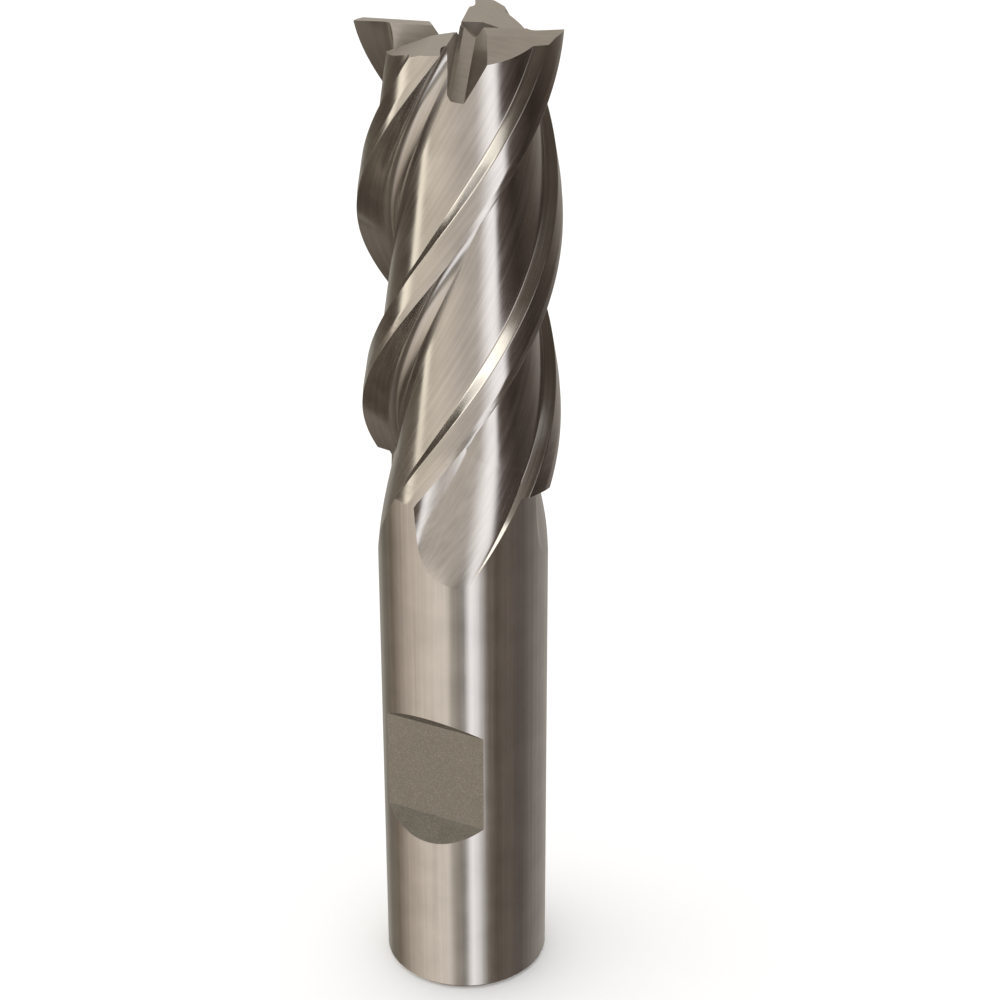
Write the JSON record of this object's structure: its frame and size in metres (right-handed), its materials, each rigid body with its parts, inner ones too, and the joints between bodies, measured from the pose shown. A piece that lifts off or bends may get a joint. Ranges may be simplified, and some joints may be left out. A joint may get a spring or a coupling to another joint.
{
  "type": "end mill",
  "caption": "Square-end milling cutter with right-hand helical flutes, relieved end teeth and a straight shank with a side-lock flat.",
  "frame": {"origin": "centre of the shank's end face", "axes": "+Z along the tool axis, from the shank end to the cutting end; -Y is the way that the side-lock flat faces"},
  "size_m": [0.018, 0.018, 0.0952],
  "materials": {
    "ground_cutter_steel": "bright uncoated high-speed steel, ground flutes, lands and end faces with fine grinding lines",
    "ground_shank_steel": "cylindrically ground bright steel with a duller milled flat and light handling marks"
  },
  "bodies": {
    "root": {"cutting_body": "ground_cutter_steel", "shank": "ground_shank_steel"}
  },
  "joints": []
}
